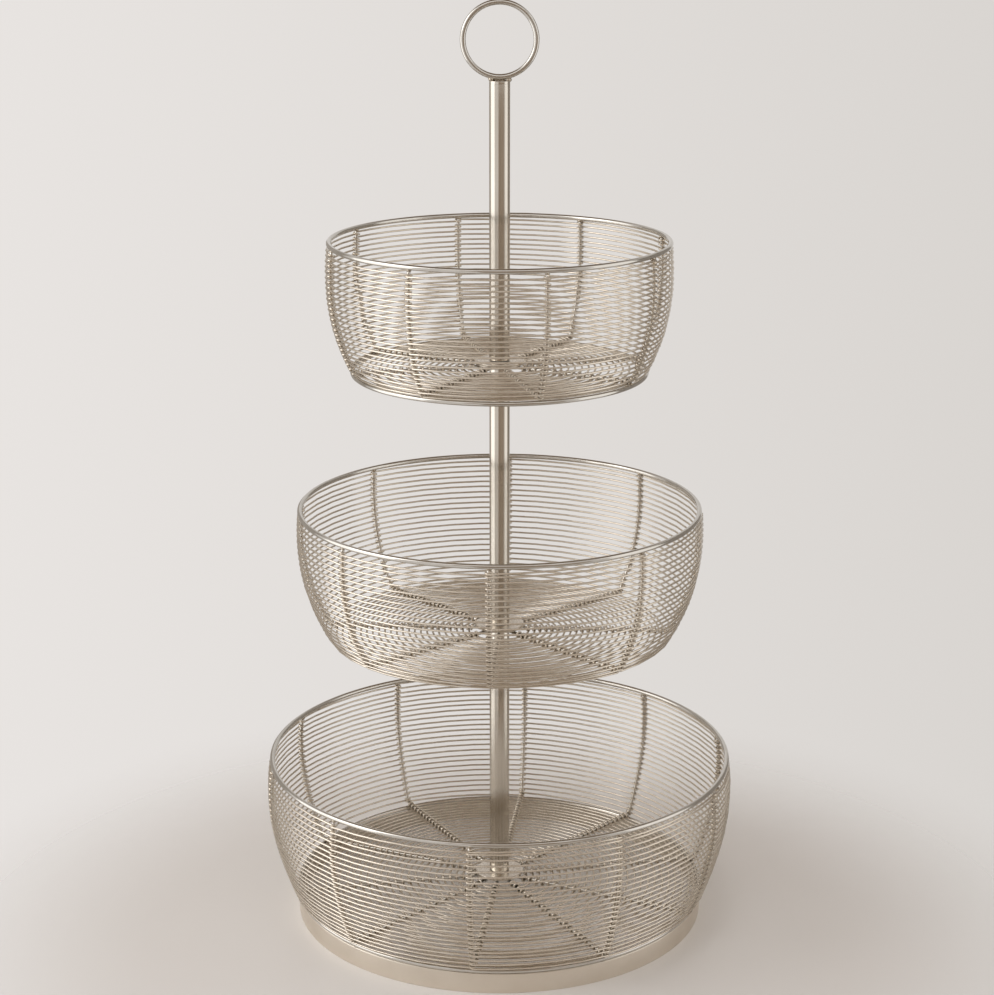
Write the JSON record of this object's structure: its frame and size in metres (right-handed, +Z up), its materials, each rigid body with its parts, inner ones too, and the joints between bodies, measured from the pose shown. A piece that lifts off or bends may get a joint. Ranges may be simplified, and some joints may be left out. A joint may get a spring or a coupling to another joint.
{
  "type": "tiered wire basket stand",
  "caption": "Satin nickel tiered stand: round wire-wound baskets, smaller towards the top, on a central tube pole with a ring handle and a flat base band, for fruit or small goods.",
  "frame": {"origin": "on the table under the middle of the base band", "axes": "+Z up along the pole, -Y towards the front, which the ring handle faces"},
  "size_m": [0.299, 0.299, 0.5826],
  "materials": {
    "nickel_ring": "satin",
    "nickel_wire": "satin",
    "nickel_tube_and_sheet": "brushed",
    "zinc_steel": "zinc plated"
  },
  "bodies": {
    "base": {"base_band": "nickel_tube_and_sheet", "base_foot_ring": "nickel_ring", "base_washer": "zinc_steel", "base_bolt": "zinc_steel", "bottom_rim": "nickel_ring", "bottom_hub": "nickel_tube_and_sheet", "bottom_rib_1": "nickel_wire", "bottom_rib_2": "nickel_wire", "bottom_rib_3": "nickel_wire", "bottom_rib_4": "nickel_wire", "bottom_rib_5": "nickel_wire", "bottom_rib_6": "nickel_wire", "bottom_rib_7": "nickel_wire", "bottom_rib_8": "nickel_wire", "bottom_rib_9": "nickel_wire", "bottom_rib_10": "nickel_wire", "bottom_wall_wire": "nickel_wire", "bottom_floor_wire": "nickel_wire", "lower_pole": "nickel_tube_and_sheet", "lower_pole_bottom_insert": "zinc_steel", "lower_pole_top_insert": "zinc_steel"},
    "middle_basket": {"middle_rim": "nickel_ring", "middle_hub": "nickel_tube_and_sheet", "middle_rib_1": "nickel_wire", "middle_rib_2": "nickel_wire", "middle_rib_3": "nickel_wire", "middle_rib_4": "nickel_wire", "middle_rib_5": "nickel_wire", "middle_rib_6": "nickel_wire", "middle_rib_7": "nickel_wire", "middle_rib_8": "nickel_wire", "middle_wall_wire": "nickel_wire", "middle_floor_wire": "nickel_wire"},
    "lower_stud": {"lower_stud": "zinc_steel"},
    "middle_pole": {"middle_pole": "nickel_tube_and_sheet", "middle_pole_bottom_insert": "zinc_steel", "middle_pole_top_insert": "zinc_steel"},
    "top_basket": {"top_rim": "nickel_ring", "top_hub": "nickel_tube_and_sheet", "top_rib_1": "nickel_wire", "top_rib_2": "nickel_wire", "top_rib_3": "nickel_wire", "top_rib_4": "nickel_wire", "top_rib_5": "nickel_wire", "top_rib_6": "nickel_wire", "top_rib_7": "nickel_wire", "top_rib_8": "nickel_wire", "top_wall_wire": "nickel_wire", "top_floor_wire": "nickel_wire", "top_foot_ring": "nickel_ring"},
    "upper_stud": {"upper_stud": "zinc_steel"},
    "upper_pole": {"upper_pole": "nickel_tube_and_sheet", "upper_pole_bottom_insert": "zinc_steel", "pole_cap": "nickel_tube_and_sheet", "ring_handle": "nickel_ring"}
  },
  "joints": [
    {"name": "middle_basket_turn", "type": "hinge", "parent": "base", "child": "middle_basket", "pos_m": [0, 0, 0.1915], "axis": [0, 0, 1], "continuous": true},
    {"name": "lower_stud_rise", "type": "slide", "parent": "base", "child": "lower_stud", "axis": [0, 0, 1], "range_m": [0, 0.0081]},
    {"name": "middle_pole_unscrew", "type": "hinge", "parent": "lower_stud", "child": "middle_pole", "pos_m": [0, 0, 0.1928], "axis": [0, 0, 1], "range_deg": [0, 3600]},
    {"name": "top_basket_turn", "type": "hinge", "parent": "middle_pole", "child": "top_basket", "pos_m": [0, 0, 0.3629], "axis": [0, 0, 1], "continuous": true},
    {"name": "upper_stud_rise", "type": "slide", "parent": "middle_pole", "child": "upper_stud", "axis": [0, 0, 1], "range_m": [0, 0.0081]},
    {"name": "upper_pole_unscrew", "type": "hinge", "parent": "upper_stud", "child": "upper_pole", "pos_m": [0, 0, 0.3642], "axis": [0, 0, 1], "range_deg": [0, 3600]}
  ],
  "couplings": [
    {"joint": "lower_stud_rise", "follows": "middle_pole_unscrew", "m_per_rad": 0.00012732},
    {"joint": "upper_stud_rise", "follows": "upper_pole_unscrew", "m_per_rad": 0.00012732}
  ]
}
